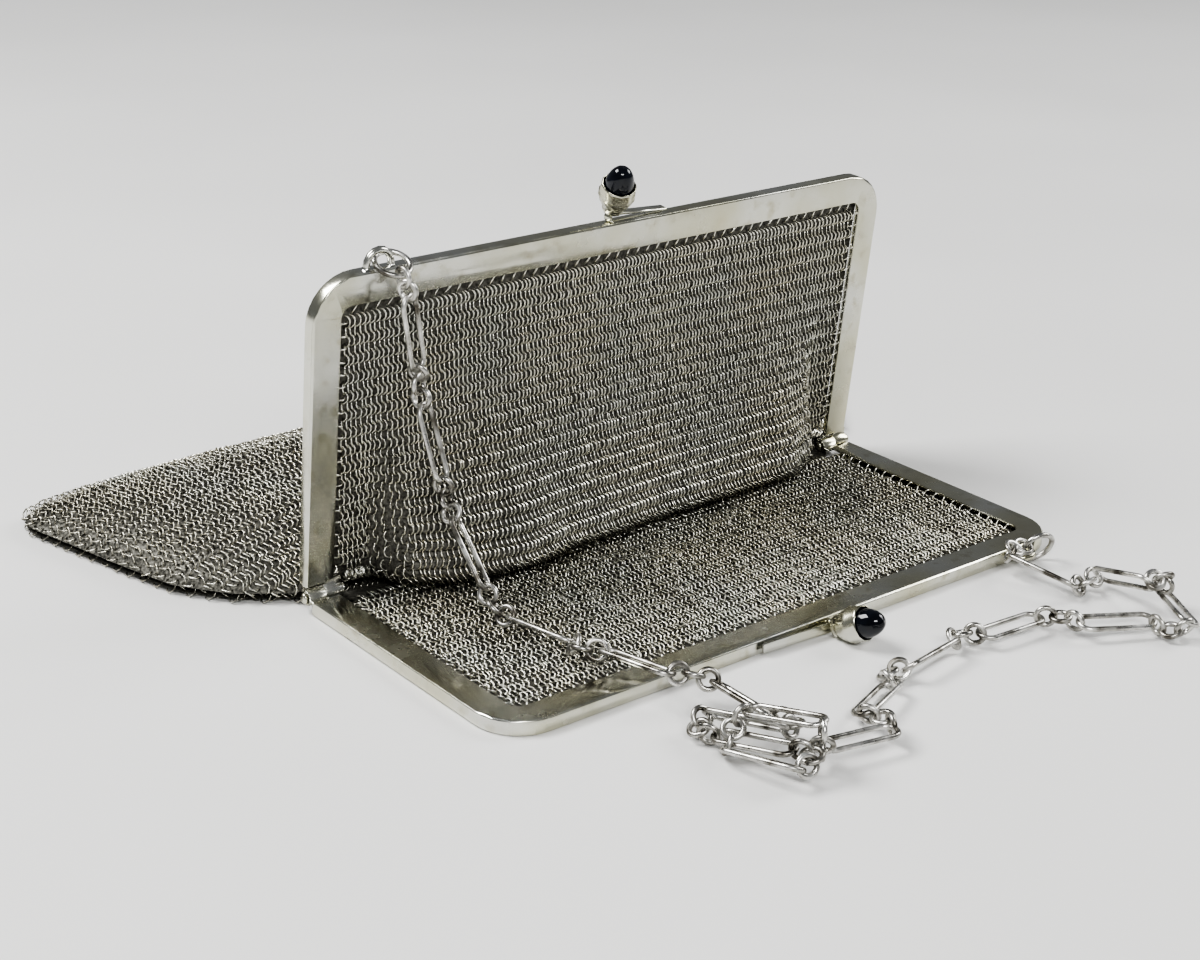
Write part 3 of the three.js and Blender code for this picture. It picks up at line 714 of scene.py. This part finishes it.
def up_at(point):
    return Vector((0, -1, 0.3)) if point.z > 12 else Vector((0, 0, 1))


# Each jump ring in its half's axes: middle from its loop, way it faces, and way to the link that it holds
JUMP_RINGS = {
    "upright": {
        "centre": (2.4, 0.95, 0.15),
        "normal": (0, 0.94, 0.35),
        "hold": (0, -0.35, 0.94),
        "place": upright_turn,
    },
    "lying": {
        "centre": (-2.4, 3.5, 0.7),
        "normal": (0.25, 0.88, -0.4),
        "hold": (0.95, -0.13, 0.285),
        "place": lying_turn,
    },
}


def ring_centre(ring):
    across, out, over = ring["centre"]
    return Vector((LOOP_ACROSS + across, LEG_LENGTH + out, over))


def ring_joint(ring):
    hold = Vector(ring["hold"]).normalized()
    inset = JUMP_RADIUS - (JUMP_WIRE + SOLDER_LAP) / 2 - FIT_GAP
    wire = ring["place"].to_3x3() @ Vector(ring["normal"]).cross(hold)
    return ring["place"] @ (ring_centre(ring) + hold * inset), wire.normalized()


def make_jump_ring(name):
    ring = JUMP_RINGS[name]
    points, faces = wire_loop(circle(JUMP_RADIUS, 32), JUMP_WIRE, 10)
    turn = Vector((0, 0, 1)).rotation_difference(Vector(ring["normal"])).to_matrix().to_4x4()
    matrix = ring["place"] @ Matrix.Translation(ring_centre(ring)) @ turn
    placed = [matrix @ Vector(point) for point in points]
    new_piece("jump_" + name, placed, faces, aged_silver, ["jump_ring_" + name])


def chain_links():
    longs = [route_link(row) for row in CHAIN_ROUTE]
    small = link_reach("small")
    links = []

    def add_small(joints, roll_start, roll_end):
        for i in range(len(joints) - 1):
            share = (i + 0.5) / (len(joints) - 1)
            turn = roll_start + (roll_end - roll_start) * share + (math.pi / 2 if i % 2 == 0 else 0)
            links.append(("small", link_matrix(joints[i], joints[i + 1], up_at(joints[i]), turn)))

    first, first_wire = ring_joint(JUMP_RINGS["upright"])
    last, last_wire = ring_joint(JUMP_RINGS["lying"])
    head = bridge(first, longs[0]["start"], [small] * 2, Vector((0, -1, 0)))
    links.append(("small", link_matrix(head[0], head[1], first_wire, 0)))
    add_small(head[1:], longs[0]["roll"], longs[0]["roll"])
    for link, following in zip(longs, longs[1:] + [None]):
        links.append(("long", link_matrix(link["start"], link["end"], up_at(link["start"]), link["roll"])))
        if following:
            bulge = link["along"] - following["along"] + Vector((0, 0, 0.02))
            joints = bridge(link["end"], following["start"], [small] * 3, bulge)
            add_small(joints, link["roll"], following["roll"])
    tail = bridge(longs[-1]["end"], last, [small] * 3, longs[-1]["along"])
    add_small(tail[:3], longs[-1]["roll"], longs[-1]["roll"])
    links.append(("small", link_matrix(tail[2], tail[3], last_wire, 0)))
    return links


def make_chain():
    shapes = {kind: link_shape(kind) for kind in ("long", "small")}
    points, faces, count = [], [], 0
    for kind, matrix in chain_links():
        link_points, link_faces = shapes[kind]
        turn = np.array(matrix.to_3x3())
        points.append(link_points @ turn.T + np.array(matrix.translation))
        faces.append(link_faces + count)
        count += len(link_points)
    points = np.concatenate(points)
    faces = np.concatenate(faces)
    new_piece("chain_links", points, faces, aged_silver, ["chain"])
    make_jump_ring("upright")
    make_jump_ring("lying")


# Stones
def smooth_through(values, steps):
    """A rounded curve through a list of values, with a few steps between each two."""
    ends = np.concatenate([[2 * values[0] - values[1]], values, [2 * values[-1] - values[-2]]])
    share = np.arange(steps) / steps
    curve = []
    for a, b, c, d in zip(ends, ends[1:], ends[2:], ends[3:]):
        bend = 2 * a - 5 * b + 4 * c - d + share * (3 * (b - c) + d - a)
        curve.append(b + 0.5 * share * (c - a + share * bend))
    return np.append(np.concatenate(curve), values[-1])


def make_stone(name, place):
    wide = np.maximum(smooth_through(STONE_WIDE, STONE_STEPS), STONE_TIP) * STONE_RADIUS
    high = STONE_FOOT + smooth_through(STONE_HIGH, STONE_STEPS) * STONE_HEIGHT
    turns = 2 * np.pi * np.arange(STONE_TURNS) / STONE_TURNS
    points = np.stack([
        wide[:, None] * np.cos(turns),
        np.repeat(high[:, None], STONE_TURNS, 1),
        wide[:, None] * np.sin(turns),
    ], -1).reshape(-1, 3)
    knob = Matrix.Translation((KNOB_ACROSS, LEG_LENGTH + STRIP_RISE, -STRIP_BEHIND))
    knob = knob @ Matrix.Rotation(math.radians(KNOB_TURN), 4, "Z")
    knob = knob @ Matrix.Rotation(math.radians(KNOB_LEAN), 4, "X")
    placed = [place @ knob @ Vector(point) for point in points]
    faces = grid_faces(len(wide), STONE_TURNS, False, True)
    new_piece("stone_" + name, placed, faces, dark_stone, ["cabochon_" + name])


# Frame: the solids themselves, smooth shaded
def dress_solid(name, material):
    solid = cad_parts[name]
    solid.data.materials.clear()
    solid.data.materials.append(material)
    weld = solid.modifiers.new("weld", "WELD")
    weld.merge_threshold = 1e-6
    solid.data.shade_smooth()
    solid.data.set_sharp_from_angle(angle=math.radians(40))
    even = solid.modifiers.new("even", "WEIGHTED_NORMAL")
    even.keep_sharp = True


def make_floor():
    bpy.ops.mesh.primitive_plane_add(size=6)
    floor = bpy.context.object
    floor.name = "floor"
    floor.data.materials.append(floor_material())
    floor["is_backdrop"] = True


def make_light(name, place, aim, size, power):
    data = bpy.data.lights.new(name, "AREA")
    data.shape = "RECTANGLE"
    data.size, data.size_y = size
    data.energy = power
    lamp = bpy.data.objects.new(name, data)
    lamp.location = place
    lamp.rotation_euler = (Vector(aim) - Vector(place)).to_track_quat("-Z", "Y").to_euler()
    bpy.context.scene.collection.objects.link(lamp)


def make_studio():
    world = bpy.data.worlds.new("studio")
    bpy.context.scene.world = world
    world.use_nodes = True
    world.node_tree.nodes["Background"].inputs["Color"].default_value = (0.8, 0.82, 0.85, 1)
    world.node_tree.nodes["Background"].inputs["Strength"].default_value = 0.22
    make_light("key", (-0.5, 0.5, 0.9), (0, 0, 0), (0.6, 0.5), 12)
    make_light("side", (0.9, -0.2, 0.6), (0, 0, 0.03), (0.5, 0.5), 5)
    make_light("front", (-0.5, -0.9, 0.8), (0, 0, 0.03), (0.6, 0.3), 8)
    scene = bpy.context.scene
    scene.view_settings.view_transform = "AgX"
    scene.view_settings.look = "AgX - High Contrast"


make_camera()
make_bag()
make_chain()
make_stone("upright", upright_turn)
make_stone("lying", lying_turn)
for part in ("frame_upright", "frame_lying", "hinge_pin_left", "hinge_pin_right"):
    dress_solid(part, silver)
make_floor()
make_studio()

sizes = {"cad": [list(corner) for corner in cad_box], "visual": [list(corner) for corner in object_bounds()]}
